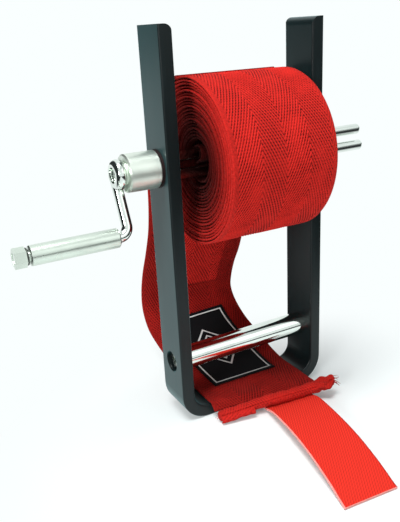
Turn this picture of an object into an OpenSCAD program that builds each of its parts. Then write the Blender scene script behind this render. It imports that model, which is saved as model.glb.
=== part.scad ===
// Boxing hand wrap roller: a bent flat-bar frame carries a cranked fork that winds a cloth wrap.
// X runs along the spindle with the crank at -X, -Y is the front, Z is up from the underside of the base.

/* [Frame] */
// Clear width between the uprights
frame_gap = 67; // [64:0.5:90]
// Thickness of the flat bar
bar_t = 6; // [5:0.25:8]
// Width of the flat bar, front to back
bar_w = 20; // [19:0.5:26]
// Height of the uprights above the underside of the base
frame_h = 176; // [160:1:220]
// Inner radius of the two bends
bend_r = 7; // [4:0.5:12]
// Rounding along the edges of the flat bar
edge_r = 0.8; // [0.3:0.1:1.5]
// Rounding of the inner top corner of each upright
top_r = 3.5; // [1:0.5:4.5]

/* [Guide bar] */
// Height of the guide bar's axis above the underside of the base
guide_h = 28.5; // [25:0.5:40]
// Diameter of the guide bar
guide_d = 11; // [9:0.5:14]
// Diameter of the guide screws' shank
guide_screw_d = 4.9; // [4:0.1:6]
// Length of the guide screws' shank inside the bar
guide_screw_in = 14; // [8:1:25]
// Diameter of the guide screws' head
guide_head_d = 9; // [8:0.1:10]
// Height of the guide screws' head
guide_head_h = 2.2; // [1.5:0.1:3]
// Diameter of the recess for a guide screw's head
recess_d = 10; // [9.5:0.1:11]
// Depth of the recess for a guide screw's head
recess_depth = 4; // [3:0.1:4.5]

/* [Spindle] */
// Height of the spindle axis above the underside of the base
axis_h = 119.5; // [112:0.5:130]
// Outer diameter of the two bushes
bush_d = 16.4; // [15.6:0.1:17]
// Diameter of the hub's journal
journal_d = 14; // [13.6:0.1:14.4]
// Length of the journal that stands inside the left upright
journal_in = 1; // [0.5:0.1:3]
// Diameter of each prong of the fork
prong_d = 4.9; // [4.2:0.1:5]
// Distance between the axes of the two prongs
prong_pitch = 7.7; // [7.3:0.1:8]
// Length of the prongs past the right upright
prong_out = 30.5; // [10:0.5:45]
// Rounding of the prongs' tips
prong_tip_r = 1.2; // [0.5:0.1:1.5]
// Depth of the prongs' sockets in the hub
socket_depth = 8; // [5:0.5:12]

/* [Crank] */
// Angle of the crank at rest, from straight down towards the front
crank_angle = 15; // [0:1:30]
// Diameter of the hub
hub_d = 16; // [15.6:0.1:20]
// Length of the hub
hub_l = 14.2; // [10:0.1:20]
// Bevel round both ends of the hub
hub_bevel = 0.6; // [0.2:0.1:1]
// Outer diameter of the thrust washer
thrust_d = 15.4; // [15:0.1:15.5]
// Thickness of the thrust washer
thrust_t = 1; // [0.6:0.1:2]
// Diameter of the neck that carries the crank arm's eye
neck_d = 10; // [9:0.1:11]
// Length of the neck
neck_l = 0.6; // [0.4:0.1:4]
// Outer diameter of the eye that ends the crank arm
eye_d = 12.8; // [12:0.1:15]
// Thickness of the eye's ring
ring_d = 4.9; // [4.2:0.1:5.2]
// Depth of the flat that seats the eye on the neck
eye_flat = 0.4; // [0.3:0.05:0.6]
// Thickness of the eye under the arm screw's head
eye_web = 1.3; // [1.2:0.1:1.6]
// Diameter of the arm screw's head
arm_head_d = 5.8; // [5.2:0.1:6]
// Height of the arm screw's head
arm_head_h = 1.7; // [1.4:0.1:2]
// Diameter of the recess for the arm screw's head
eye_recess_d = 6.6; // [6.4:0.1:7]
// Diameter of the arm screw's shank
arm_screw_d = 3.4; // [3:0.1:3.8]
// Length of the arm screw's shank inside the hub
arm_screw_in = 6; // [4:0.1:8]
// Diameter of the crank arm's rod
arm_d = 4.6; // [3.5:0.1:4.8]
// Distance from the spindle axis to the grip's axis
crank_r = 25; // [20:0.5:40]
// Radius of the elbow, at the middle of the rod
elbow_r = 4.2; // [3:0.1:8]
// Outer diameter of the grip
grip_d = 8.2; // [7:0.1:14]
// Length of the grip
grip_l = 36.6; // [25:0.1:60]
// Rounding bevel at the grip's ends
grip_bevel = 0.5; // [0.2:0.1:1]
// End play of the grip on its axle
grip_play = 0.6; // [0.3:0.1:1]
// Diameter of the grip washer
grip_washer_d = 7; // [6.5:0.1:10]
// Thickness of the grip washer
grip_washer_t = 0.8; // [0.5:0.1:1.5]
// Width across the flats of the grip nut
nut_af = 7.2; // [7:0.1:10]
// Length of the grip nut
nut_l = 4.6; // [3:0.1:8]

/* [Wrap] */
// Width of the wrap
wrap_w = 51; // [44:0.5:54]
// Thickness of the wrap
wrap_t = 0.83; // [0.75:0.01:0.85]
// Gap between one turn of the roll and the next
turn_gap = 0.49; // [0.46:0.01:0.5]
// Turns of wrap on the fork
wrap_turns = 20; // [18:1:22]
// How far the first turn loosens from the fork
core_loose = 2.2; // [0:0.1:3]
// Distance of the roll's middle from the middle of the frame
roll_shift = 1.5; // [0:0.5:2.5]
// Share of the free width right of the roll into which its innermost turn stands out
dish_share = 0.65; // [0:0.05:0.8]
// How far behind the spindle axis the hanging tail bulges
tail_reach = 62; // [56:1:80]
// Depth of the tail's folds
tail_fold = 3; // [0:0.1:3.5]
// Width of the loose tail, as a share of the width of the wound wrap
tail_spread = 1.04; // [1:0.01:1.06]
// Thickness of the rolled hem
hem_t = 5; // [4:0.1:6]
// Depth of the rolled hem, front to back
hem_depth = 6; // [5:0.1:8]
// Width of the closure tab
tab_w = 25.4; // [20:0.1:30]
// Thickness of the closure tab
tab_t = 0.9; // [0.7:0.05:1.2]
// Height of the closure tab's arch
tab_arch = 6.4; // [5:0.1:9]
// Distance of the closure tab's end from the spindle axis, towards the front
tab_reach = 94; // [80:1:110]
// Thickness of the label
label_t = 0.5; // [0.4:0.05:0.8]
// Thickness of the thumb loop's band
loop_t = 0.9; // [0.8:0.1:1.4]
// Width of the thumb loop's band
loop_w = 7; // [6:0.5:12]
// How far the thumb loop stands out of the roll
loop_out = 4.5; // [4:0.1:6.5]
// Distance of the thumb loop's middle from the spindle axis
loop_place = 13; // [12:0.5:22]
// Distance across the thumb loop
loop_span = 5.2; // [5:0.1:8]
// Angle of the thumb loop about the spindle, from the back
loop_angle = 345; // [0:5:355]

/* [Fits] */
// Radial clearance of turning and screwed fits
run_clear = 0.05; // [0.02:0.01:0.09]
// Clearance between cloth and its neighbours
cloth_clear = 0.32; // [0.3:0.01:0.4]
// Free length past the end of each screw in its hole
screw_end_gap = 0.5; // [0.3:0.1:2]
// How far the axle's end lies inside the grip nut's face
axle_recess = 0.3; // [0:0.1:1]
// Clearance of the hem and the closure tab above the table
table_clear = 0.2; // [0.1:0.05:0.3]

/* [Hidden] */
$fn = 64;

// Overshoot of cuts past the faces that they open, and of joined solids into each other
cut = 1;

// Faces along the spindle, from the frame outwards to the crank's end
inner_x = frame_gap / 2;
outer_x = inner_x + bar_t;
hub_in_x = -outer_x - thrust_t;
hub_out_x = hub_in_x - hub_l;
neck_x = hub_out_x - neck_l;
arm_x = neck_x + eye_flat - ring_d / 2;
elbow_end_x = arm_x - elbow_r;
grip_in_x = elbow_end_x - grip_play;
grip_out_x = grip_in_x - grip_l;
washer_in_x = grip_out_x - grip_play;
nut_in_x = washer_in_x - grip_washer_t;
nut_out_x = nut_in_x - nut_l;
axle_end_x = nut_out_x + axle_recess;

// The rod leaves the eye's ring along its back, straight towards the grip's axis
eye_r = (eye_d - ring_d) / 2;
rod_turn = asin(eye_r / crank_r);
rod_l = crank_r * cos(rod_turn);

// The fork fits a round bore of this diameter
fork_d = prong_pitch + prong_d;
tip_x = outer_x + prong_out;

// Wound strip: its first full turn lies over the upper prong, and its outer end lies over that place too
turn_pitch = wrap_t + turn_gap;
first_r = fork_d / 2 + cloth_clear + wrap_t / 2;
last_r = first_r + core_loose + wrap_turns * turn_pitch;
roll_r = last_r + wrap_t / 2;
roll_x0 = roll_shift - wrap_w / 2;
upper_angle = 90 - crank_angle;
turn_steps = 24;
roll_dish = dish_share * (inner_x - roll_shift - wrap_w / 2);
dish_slope = roll_dish / (last_r - first_r);

// Tail: it lies over the roll, hangs behind it, and comes forward over the base
tail_r = roll_r + cloth_clear + wrap_t / 2;
tail_slack = tail_reach - tail_r;
base_lie = bar_t + cloth_clear + wrap_t / 2;
tail_columns = 12;
tail_splits = 2;
label_columns = [2, 10];
label_stations = [24, 34];

// Hem: the middle of the rolled end, turned a little with the end of the strip
hem_turn = 10.5;
hem_y = -1.08 * bar_w;

function flatten(rows) = [for (row = rows) for (p = row) p];
function unit(v) = v / norm(v);
function turn_point(r, a) = [r * cos(a), r * sin(a)];
function ease(u) = u * u * (3 - 2 * u);

// Smooth curve through rows of numbers
function spline(a, b, c, d, u) =
    0.5 * (2 * b + (c - a) * u + (2 * a - 5 * b + 4 * c - d) * u * u + (3 * b - a - 3 * c + d) * u * u * u);
function smooth_rows(rows, splits) =
    let (last = len(rows) - 1)
    concat(
        [for (i = [0 : last - 1]) for (k = [0 : splits - 1])
            spline(rows[max(i - 1, 0)], rows[i], rows[i + 1], rows[min(i + 2, last)], k / splits)],
        [rows[last]]);

// Unit normals of a grid of points, on the side that faces the front and up
function grid_normal(grid, i, j) =
    let (last_i = len(grid) - 1, last_j = len(grid[0]) - 1)
    unit(cross(grid[min(i + 1, last_i)][j] - grid[max(i - 1, 0)][j],
        grid[i][min(j + 1, last_j)] - grid[i][max(j - 1, 0)]));
function grid_shift(grid, d) =
    [for (i = [0 : len(grid) - 1])
        [for (j = [0 : len(grid[0]) - 1]) grid[i][j] + d * grid_normal(grid, i, j)]];

function two_triangles(a, b, c, d) = [[a, b, c], [a, c, d]];

// Closed sheet between two grids of points, given from its face side and its back side
module sheet(face_grid, back_grid) {
    rows = len(face_grid);
    cols = len(face_grid[0]);
    back = rows * cols;
    walls = flatten(concat(
        [for (i = [0 : rows - 2]) for (j = [0 : cols - 2])
            two_triangles(i * cols + j, i * cols + j + 1, (i + 1) * cols + j + 1, (i + 1) * cols + j)],
        [for (i = [0 : rows - 2]) for (j = [0 : cols - 2])
            two_triangles(back + i * cols + j, back + (i + 1) * cols + j, back + (i + 1) * cols + j + 1,
                back + i * cols + j + 1)],
        [for (i = [0 : rows - 2])
            two_triangles(i * cols, (i + 1) * cols, back + (i + 1) * cols, back + i * cols)],
        [for (i = [0 : rows - 2]) let (j = cols - 1)
            two_triangles(i * cols + j, back + i * cols + j, back + (i + 1) * cols + j, (i + 1) * cols + j)],
        [for (j = [0 : cols - 2]) two_triangles(j, back + j, back + j + 1, j + 1)],
        [for (j = [0 : cols - 2]) let (i = (rows - 1) * cols)
            two_triangles(i + j, i + j + 1, back + i + j + 1, back + i + j)]));
    polyhedron(points = concat(flatten(face_grid), flatten(back_grid)), faces = walls, convexity = 10);
}

// Closed tube through rings of points
module tube(rings) {
    rows = len(rings);
    sides = len(rings[0]);
    walls = flatten([for (i = [0 : rows - 2]) for (k = [0 : sides - 1])
        two_triangles(i * sides + k, i * sides + (k + 1) % sides, (i + 1) * sides + (k + 1) % sides,
            (i + 1) * sides + k)]);
    start_cap = [for (k = [1 : sides - 2]) [0, k + 1, k]];
    end_cap = [for (k = [1 : sides - 2]) let (i = (rows - 1) * sides) [i, i + k, i + k + 1]];
    polyhedron(points = flatten(rings), faces = concat(walls, start_cap, end_cap), convexity = 6);
}

// Round piece along X from x0 to x1
module bar_x(x0, x1, d) {
    translate([min(x0, x1), 0, 0])
        rotate([0, 90, 0])
            cylinder(d = d, h = abs(x1 - x0));
}

// Places a piece of the crank: on the spindle axis, turned to the crank's angle
module on_spindle() {
    translate([0, 0, axis_h])
        rotate([-crank_angle, 0, 0])
            children();
}

// Cross-section of the flat bar, with round edges
module bar_section() {
    square([bar_t, bar_w - 2 * edge_r], center = true);
    square([bar_t - 2 * edge_r, bar_w], center = true);
    for (sx = [-1, 1])
        for (sy = [-1, 1])
            translate([sx * (bar_t / 2 - edge_r), sy * (bar_w / 2 - edge_r)])
                circle(r = edge_r, $fn = 32);
}

module upright_blank() {
    bend_out = bend_r + bar_t;
    difference() {
        translate([inner_x + bar_t / 2, 0, bend_out])
            linear_extrude(height = frame_h - bend_out)
                bar_section();
        translate([inner_x, 0, frame_h])
            rotate([90, 0, 0])
                linear_extrude(height = bar_w + 2 * cut, center = true)
                    difference() {
                        translate([-cut, -top_r])
                            square([top_r + cut, top_r + cut]);
                        translate([top_r, -top_r])
                            circle(r = top_r);
                    }
    }
    translate([inner_x - bend_r, 0, bend_out])
        rotate([90, 0, 0])
            rotate_extrude(angle = -90)
                translate([bend_r + bar_t / 2, 0])
                    bar_section();
}

module bore_x(x0, x1, d, h) {
    translate([0, 0, h])
        bar_x(x0, x1, d);
}

module u_frame() {
    flat_l = frame_gap - 2 * bend_r;
    color("#26282a")
        difference() {
            union() {
                upright_blank();
                mirror([1, 0, 0])
                    upright_blank();
                translate([-flat_l / 2, 0, bar_t / 2])
                    rotate([0, 90, 0])
                        linear_extrude(height = flat_l)
                            bar_section();
            }
            for (s = [-1, 1]) {
                bore_x(s * (inner_x - cut), s * (outer_x + cut), bush_d + 2 * run_clear, axis_h);
                bore_x(s * (inner_x - cut), s * (outer_x + cut), guide_screw_d + 4 * run_clear, guide_h);
                bore_x(s * (outer_x - recess_depth), s * (outer_x + cut), recess_d, guide_h);
            }
        }
}

module bush(side, bore_d) {
    color("#e6e2d6")
        translate([0, 0, axis_h])
            difference() {
                bar_x(side * inner_x, side * outer_x, bush_d);
                bar_x(side * (inner_x - cut), side * (outer_x + cut), bore_d);
            }
}

module left_bush() {
    bush(-1, journal_d + 2 * run_clear);
}

module right_bush() {
    bush(1, fork_d + 2 * run_clear);
}

module guide_bar() {
    tap_d = guide_screw_d + 2 * run_clear;
    color("#d8dadc")
        translate([0, 0, guide_h])
            difference() {
                bar_x(-inner_x, inner_x, guide_d);
                for (s = [-1, 1])
                    bar_x(s * (inner_x - guide_screw_in - screw_end_gap), s * (inner_x + cut), tap_d);
            }
}

// Pan-head screw along X: its head's underside at x0, its head towards -X, with a cross recess
module pan_screw(x0, head_d, head_h, shank_d, shank_l) {
    slot_w = head_d / 6;
    slot_l = head_d * 0.62;
    slot_depth = head_h * 0.6;
    crown = head_h * 0.35;
    translate([x0, 0, 0])
        difference() {
            rotate([0, -90, 0])
                rotate_extrude()
                    polygon([[0, -shank_l], [shank_d / 2, -shank_l], [shank_d / 2, 0], [head_d / 2, 0],
                        [head_d / 2, head_h - crown], [head_d / 2 - crown, head_h], [0, head_h]]);
            for (turn = [0, 90])
                rotate([turn, 0, 0])
                    translate([-head_h - cut, -slot_l / 2, -slot_w / 2])
                        cube([slot_depth + cut, slot_l, slot_w]);
        }
}

module guide_screw() {
    shank_l = bar_t - recess_depth + guide_screw_in;
    color("#c9cccf")
        translate([0, 0, guide_h])
            rotate([20, 0, 0])
                pan_screw(-outer_x + recess_depth, guide_head_d, guide_head_h, guide_screw_d, shank_l);
}

module left_guide_screw() {
    guide_screw();
}

module right_guide_screw() {
    mirror([1, 0, 0])
        guide_screw();
}

module thrust_washer() {
    color("#8e2a24")
        translate([0, 0, axis_h])
            difference() {
                bar_x(hub_in_x, -outer_x, thrust_d);
                bar_x(hub_in_x - cut, -outer_x + cut, journal_d + 2 * run_clear);
            }
}

module crank_hub() {
    journal_x = -inner_x + journal_in;
    color("#b9b9b6")
        on_spindle()
            difference() {
                union() {
                    rotate([0, 90, 0])
                        rotate_extrude()
                            polygon([[0, neck_x], [neck_d / 2, neck_x], [neck_d / 2, hub_out_x],
                                [hub_d / 2 - hub_bevel, hub_out_x], [hub_d / 2, hub_out_x + hub_bevel],
                                [hub_d / 2, hub_in_x - hub_bevel], [hub_d / 2 - hub_bevel, hub_in_x],
                                [0, hub_in_x]]);
                    bar_x(hub_in_x - cut, journal_x, journal_d);
                }
                for (s = [-1, 1])
                    translate([0, 0, s * prong_pitch / 2])
                        bar_x(journal_x - socket_depth, journal_x + cut, prong_d + 2 * run_clear);
                bar_x(neck_x - cut, neck_x + arm_screw_in + screw_end_gap, arm_screw_d + 2 * run_clear);
            }
}

module prong(side) {
    root_x = -inner_x + journal_in - socket_depth;
    color("#d8dadc")
        on_spindle()
            translate([root_x, 0, side * prong_pitch / 2])
                rotate([0, 90, 0])
                    rotate_extrude() {
                        square([prong_d / 2, tip_x - root_x - prong_tip_r]);
                        square([prong_d / 2 - prong_tip_r, tip_x - root_x]);
                        translate([prong_d / 2 - prong_tip_r, tip_x - root_x - prong_tip_r])
                            circle(r = prong_tip_r, $fn = 32);
                    }
}

module upper_prong() {
    prong(1);
}

module lower_prong() {
    prong(-1);
}

module crank_arm() {
    web_x = neck_x - eye_web;
    color("#d2d4d6")
        on_spindle()
            difference() {
                union() {
                    translate([arm_x, 0, 0])
                        rotate([0, 90, 0])
                            rotate_extrude()
                                translate([eye_r, 0])
                                    circle(d = ring_d);
                    bar_x(web_x, neck_x, 2 * eye_r);
                    rotate([-rod_turn, 0, 0])
                        translate([0, eye_r, 0]) {
                            translate([arm_x, 0, elbow_r - rod_l])
                                cylinder(d = arm_d, h = rod_l - elbow_r + 0.1 * ring_d);
                            translate([elbow_end_x, 0, elbow_r - rod_l])
                                rotate([90, 0, 0])
                                    rotate_extrude(angle = -90)
                                        translate([elbow_r, 0])
                                            circle(d = arm_d);
                            translate([0, 0, -rod_l])
                                bar_x(elbow_end_x, axle_end_x, arm_d);
                        }
                }
                bar_x(neck_x, neck_x + ring_d, eye_d + cut);
                bar_x(web_x - ring_d, web_x, eye_recess_d);
                bar_x(web_x - cut, neck_x + cut, arm_screw_d + 2 * run_clear);
            }
}

module arm_screw() {
    color("#c9cccf")
        on_spindle()
            rotate([35, 0, 0])
                pan_screw(neck_x - eye_web, arm_head_d, arm_head_h, arm_screw_d, eye_web + arm_screw_in);
}

// Turned ring on the grip's axle, from x0 towards -X, with bevelled outer edges
module axle_ring(x0, length, d, bevel) {
    bore_r = arm_d / 2 + run_clear;
    on_spindle()
        translate([x0, 0, -crank_r])
            rotate([0, -90, 0])
                rotate_extrude()
                    polygon([[bore_r, 0], [d / 2 - bevel, 0], [d / 2, bevel], [d / 2, length - bevel],
                        [d / 2 - bevel, length], [bore_r, length]]);
}

module grip_sleeve() {
    color("#bfc1c0")
        axle_ring(grip_in_x, grip_l, grip_d, grip_bevel);
}

module grip_washer() {
    color("#3a3a3a")
        axle_ring(washer_in_x, grip_washer_t, grip_washer_d, grip_washer_t / 5);
}

module grip_nut() {
    color("#c4c6c6")
        on_spindle()
            translate([0, 0, -crank_r])
                difference() {
                    translate([nut_out_x, 0, 0])
                        rotate([0, 90, 0])
                            cylinder(d = nut_af / cos(30), h = nut_l, $fn = 6);
                    bar_x(nut_out_x - cut, nut_in_x + cut, arm_d + 2 * run_clear);
                }
}

// Middle line of the wound strip in the plane across the spindle: it passes between the prongs,
// bends round the upper one and then winds outwards
fork_up = turn_point(1, upper_angle);
fork_side = turn_point(1, upper_angle + 90);
lead_step = 15;
strip_start = 0.45;
lead_r = (prong_d / 2 + cloth_clear + wrap_t / 2) / cos(lead_step / 2);
lead_points = concat(
    [-strip_start * first_r * fork_side],
    [for (a = [-75 : lead_step : 75])
        (prong_pitch / 2 + lead_r * sin(a)) * fork_up + lead_r * cos(a) * fork_side]);
wind_points = [for (k = [0 : wrap_turns * turn_steps]) let (turns = k / turn_steps)
    turn_point(first_r + core_loose * ease(min(1, turns)) + turn_pitch * turns, upper_angle - 360 * turns)];
strip_line = concat(lead_points, wind_points);
strip_last = len(strip_line) - 1;
function strip_side(i) =
    let (d = unit(strip_line[min(i + 1, strip_last)] - strip_line[max(i - 1, 0)]))
    [-d[1], d[0]];
outer_face = [for (i = [0 : strip_last]) strip_line[i] + wrap_t / 2 * strip_side(i)];
inner_face = [for (i = [0 : strip_last]) strip_line[i] - wrap_t / 2 * strip_side(i)];

// Least gap of the wound strip to itself, from points of one face to stretches of the other face
function stretch_gap(p, a, b) =
    let (u = max(0, min(1, (p - a) * (b - a) / ((b - a) * (b - a)))))
    norm(p - a - u * (b - a));
function faces_gap(one, two) = min([for (i = [0 : strip_last])
    for (k = [i + turn_steps / 2 : min(i + 2 * turn_steps, strip_last - 1)])
        stretch_gap(one[i], two[k], two[k + 1])]);
least_gap = min(faces_gap(outer_face, inner_face), faces_gap(inner_face, outer_face));

// The roll's ends are dished: a turn stands further to the right, the nearer it is to the fork
function turn_x(r) = roll_x0 + dish_slope * (last_r - max(r, first_r));
function strip_ring(i) =
    let (x = turn_x(norm(strip_line[i])), outer = outer_face[i], inner = inner_face[i])
    [[x, outer[0], outer[1]], [x, inner[0], inner[1]],
        [x + wrap_w, inner[0], inner[1]], [x + wrap_w, outer[0], outer[1]]];

module wrap_roll() {
    echo(least_gap_of_wound_strip = least_gap);
    color("#b3161b")
        translate([0, 0, axis_h])
            tube([for (i = [0 : strip_last]) strip_ring(i)]);
}

module thumb_loop() {
    half_span = loop_span / 2;
    color("#8c1418")
        translate([turn_x(loop_place) - cloth_clear, 0, axis_h])
            rotate([loop_angle, 0, 0])
                translate([0, loop_place, 0]) rotate([0, 0, atan(dish_slope)])
                    linear_extrude(height = loop_w, center = true)
                        difference() {
                            union() {
                                translate([half_span - loop_out, 0])
                                    circle(r = half_span);
                                translate([half_span - loop_out, -half_span])
                                    square([loop_out - half_span, 2 * half_span]);
                            }
                            translate([half_span - loop_out, 0])
                                circle(r = half_span - loop_t);
                            translate([half_span - loop_out, loop_t - half_span])
                                square([loop_out, 2 * (half_span - loop_t)]);
                        }
}

// Cross rows of the tail: middle of the row (x, y, z), how far its left edge swings back, how far its
// right edge lifts (degrees), the depth of its folds, and how far it has spread
tail_drift = 1.2;
function on_roll(a) = [roll_shift, tail_r * cos(a), axis_h + tail_r * sin(a), 0, 0, 0, 0];
function hanging(share, back, swing, lift, fold) =
    [roll_shift * share + tail_drift * (1 - share), tail_r + back * tail_slack,
        base_lie + share * (axis_h - base_lie), swing, lift, fold, 1 - share];
function on_base(back, rise, swing, lift, fold) =
    [tail_drift / 2, back * bar_w, base_lie + rise * hem_t, swing, lift, fold, 1];
tail_rows = [
    on_roll(94), on_roll(75), on_roll(56), on_roll(37), on_roll(18) + [0, 0.1 * tail_slack, 0, 3, 0, 0, 0],
    hanging(0.95, 0.22, 8, 0, 0.1),
    hanging(0.83, 0.25, 12, 0, 0.3),
    hanging(0.71, 0.28, 13, -2, 0.7),
    hanging(0.59, 0.36, 16, -4, 1),
    hanging(0.48, 0.56, 19, -1, 1),
    hanging(0.37, 0.82, 21, 3, 0.9),
    hanging(0.27, 0.98, 21, 6, 0.6),
    hanging(0.19, 1, 20, 10, 0.3),
    hanging(0.12, 0.8, 19, 12, 0.15),
    hanging(0.07, 0.4, 18, 9, 0.08),
    on_base(1.5, 0.8, 14, 6, 0.04),
    on_base(0.95, 0.32, 8, 2.2, 0),
    on_base(0.35, 0.04, 3, 0, 0),
    on_base(0, 0, 1, 0, 0),
    on_base(-0.425, 0, 3, 0, 0),
    on_base(-0.7, 0, 8, 0.2, 0),
    on_base(-0.8, -0.12, 9.5, 2, 0),
    on_base(-0.91, -0.3, hem_turn, 4.2, 0)];

// Folds across the tail: a crease near the right edge and a shallow hollow on the left,
// both pushed out to the front and a little up
fold_rise = 0.4;
crease = 2 / 3;
function fold_shape(v) =
    (v < crease ? exp(-pow((v - crease) / 0.42, 2)) : (1 - v) / (1 - crease))
    - 0.4 * exp(-pow((v + 0.4) / 0.34, 2));
function tail_row(row) =
    let (along = [cos(row[3]) * cos(row[4]), -sin(row[3]) * cos(row[4]), sin(row[4])],
        out = unit([0, -1, fold_rise]), spread = 1 + (tail_spread - 1) * row[6])
    [for (k = [0 : tail_columns]) let (v = 2 * k / tail_columns - 1)
        [row[0], row[1], row[2]] + wrap_w / 2 * spread * v * along
            + tail_fold * row[5] * fold_shape(v) * out];
// The first row only leads the curve in
tail_stations = smooth_rows(tail_rows, tail_splits);
tail_grid = [for (i = [tail_splits : len(tail_stations) - 1]) tail_row(tail_stations[i])];

module wrap_tail() {
    color("#9c1519")
        sheet(grid_shift(tail_grid, wrap_t / 2), grid_shift(tail_grid, -wrap_t / 2));
}

module wrap_label() {
    low = wrap_t / 2 + cloth_clear;
    face_grid = grid_shift(tail_grid, low + label_t);
    back_grid = grid_shift(tail_grid, low);
    rows = [label_stations[0] : label_stations[1]];
    cols = [label_columns[0] : label_columns[1]];
    color("#141414")
        sheet([for (i = rows) [for (j = cols) face_grid[i][j]]],
            [for (i = rows) [for (j = cols) back_grid[i][j]]]);
}

// Rows of the hem: place along the strip's end, height over the table, and how full it is
hem_rows = [[-0.5, 0, 0.75], [-0.47, 0.02, 0.95], [-0.3, 0.18, 1], [-0.1, 0.4, 0.97], [0.1, 0.54, 1.02],
    [0.3, 0.66, 1], [0.45, 0.74, 1.05], [0.55, 0.86, 1.12], [0.63, 1.06, 0.95], [0.67, 1.2, 0.55]];
function hem_middle(row) =
    [row[0] * wrap_w * cos(hem_turn), hem_y - row[0] * wrap_w * sin(hem_turn),
        hem_t / 2 + table_clear + hem_t * row[1]];
function hem_ring(row) =
    [for (k = [0 : 11]) let (a = 30 * k)
        hem_middle(row) + row[2] * [-sin(hem_turn) * hem_depth / 2 * cos(a),
            -cos(hem_turn) * hem_depth / 2 * cos(a), hem_t / 2 * sin(a)]];

module wrap_hem() {
    color("#b81a1e")
        tube([for (row = smooth_rows(hem_rows, 2)) hem_ring(row)]);
}

// Cross rows of the closure tab from under the hem to the table: middle of the row, its swing and its lift
tab_start_x = 10.2;
tab_start_y = hem_y;
tab_end_x = -2.5;
tab_low = tab_t / 2 + table_clear;
tab_high = table_clear + 0.56 * hem_t - cloth_clear - tab_t / 2;
function tab_row(share, z, swing, lift) =
    [tab_start_x + share * (tab_end_x - tab_start_x),
        tab_start_y + share * (-tab_reach - tab_start_y), z, swing, lift];
function tab_rise(share) = tab_high + share * (tab_arch - tab_high);
tab_rows = [tab_row(0, tab_high, hem_turn, 3.6), tab_row(0.028, tab_high, hem_turn, 3.6),
    tab_row(0.069, tab_rise(0.2), 9.5, 3.4), tab_row(0.138, tab_rise(0.6), 7, 2.2),
    tab_row(0.269, tab_rise(0.87), 5.5, 1), tab_row(0.434, tab_arch, 5, 0),
    tab_row(0.559, tab_arch * 0.97, 4.7, 0), tab_row(0.669, tab_arch * 0.86, 4.4, 0),
    tab_row(0.834, tab_arch * 0.55, 4, 0), tab_row(0.945, tab_low + tab_arch * 0.12, 3.8, 0),
    tab_row(1, tab_low, 3.8, 0)];
function tab_cross(row) =
    let (along = [cos(row[3]) * cos(row[4]), -sin(row[3]) * cos(row[4]), sin(row[4])])
    [for (k = [0 : 3]) [row[0], row[1], row[2]] + tab_w / 2 * (k / 1.5 - 1) * along];
tab_grid = [for (row = smooth_rows(tab_rows, 2)) tab_cross(row)];

module closure_tab() {
    color("#e2231d")
        sheet(grid_shift(tab_grid, tab_t / 2), grid_shift(tab_grid, -tab_t / 2));
}

u_frame();
left_bush();
right_bush();
guide_bar();
left_guide_screw();
right_guide_screw();
thrust_washer();
crank_hub();
upper_prong();
lower_prong();
crank_arm();
arm_screw();
grip_sleeve();
grip_washer();
grip_nut();
wrap_roll();
thumb_loop();
wrap_tail();
wrap_label();
wrap_hem();
closure_tab();
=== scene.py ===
from math import atan, cos, degrees, pi, radians, sin

import bpy
import numpy as np
from bpy.props import FloatProperty, FloatVectorProperty, IntProperty, PointerProperty
from mathutils import Matrix, Vector


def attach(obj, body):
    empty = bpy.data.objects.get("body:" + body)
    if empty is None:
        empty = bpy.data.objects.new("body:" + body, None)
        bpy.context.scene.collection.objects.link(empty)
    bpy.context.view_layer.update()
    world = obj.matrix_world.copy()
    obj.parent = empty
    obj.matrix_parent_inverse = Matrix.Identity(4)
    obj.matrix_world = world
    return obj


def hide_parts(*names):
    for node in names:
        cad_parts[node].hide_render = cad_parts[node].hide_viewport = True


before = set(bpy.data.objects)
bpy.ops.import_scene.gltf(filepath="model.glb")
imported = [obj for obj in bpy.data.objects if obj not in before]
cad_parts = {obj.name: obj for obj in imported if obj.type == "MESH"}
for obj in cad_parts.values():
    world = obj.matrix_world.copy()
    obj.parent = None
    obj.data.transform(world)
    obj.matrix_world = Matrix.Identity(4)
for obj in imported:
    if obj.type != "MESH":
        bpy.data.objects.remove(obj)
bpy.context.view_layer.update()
IMAGE = (400, 522)

bl_info = {
    "name": "Hand Wrap Roller",
    "version": (1, 0, 0),
    "blender": (4, 5, 0),
    "location": "View3D > Sidebar > Wrap Roller",
    "description": "Dresses a hand wrap roller with its cloth, its finishes and a stage",
    "category": "Object",
}

MM = 0.001
UP = np.array([0, 0, 1.0])


# Properties


def length(label, text, value):
    return FloatProperty(name=label, description=text, default=value, unit="LENGTH", precision=5)


def angle(label, text, value):
    turn = radians(value)
    return FloatProperty(name=label, description=text, default=turn, subtype="ANGLE")


def number(label, text, value):
    return FloatProperty(name=label, description=text, default=value, min=0)


def power(label, text, watts):
    return FloatProperty(name=label, description=text, default=watts, min=0, unit="POWER")


def tint(label, text, value):
    return FloatVectorProperty(
        name=label, description=text, default=value, subtype="COLOR", min=0, max=1
    )


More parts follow.
